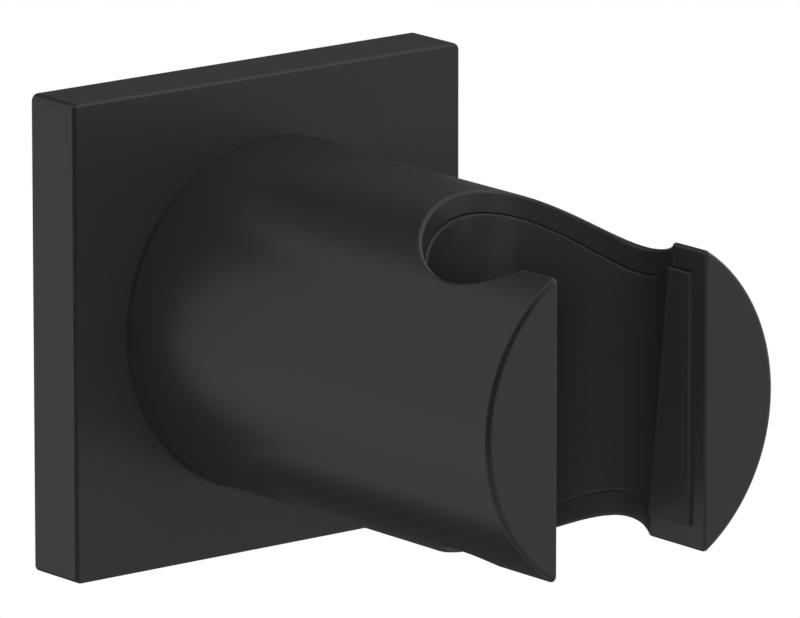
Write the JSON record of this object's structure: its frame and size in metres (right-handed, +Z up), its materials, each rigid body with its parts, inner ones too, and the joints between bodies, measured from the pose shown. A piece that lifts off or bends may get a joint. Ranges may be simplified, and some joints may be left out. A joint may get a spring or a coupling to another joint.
{
  "type": "hand shower holder",
  "caption": "Wall-mounted hand shower holder: a square wall plate and a round arm with a lined conical socket, open at the front for the hose.",
  "frame": {"origin": "centre of the square plate's back, midway between the slots for the wall screws, on the wall", "axes": "+Z up the wall, +X to the right of someone who faces the wall, -Y along the arm, away from the wall"},
  "size_m": [0.05, 0.0654, 0.05],
  "materials": {
    "body_coating": "satin black coating on cast brass",
    "liner": "fine satin, moulded",
    "stainless": "plain stainless",
    "spring_steel": "phosphated, dark",
    "bracket_brass": "turned, uncoated",
    "seal_rubber": "matte"
  },
  "bodies": {
    "root": {"holder_body": "body_coating", "socket_liner": "liner", "liner_washer": "stainless", "retaining_ring": "spring_steel", "wall_bracket": "bracket_brass", "set_screw": "stainless", "wall_seal": "seal_rubber"}
  },
  "joints": []
}
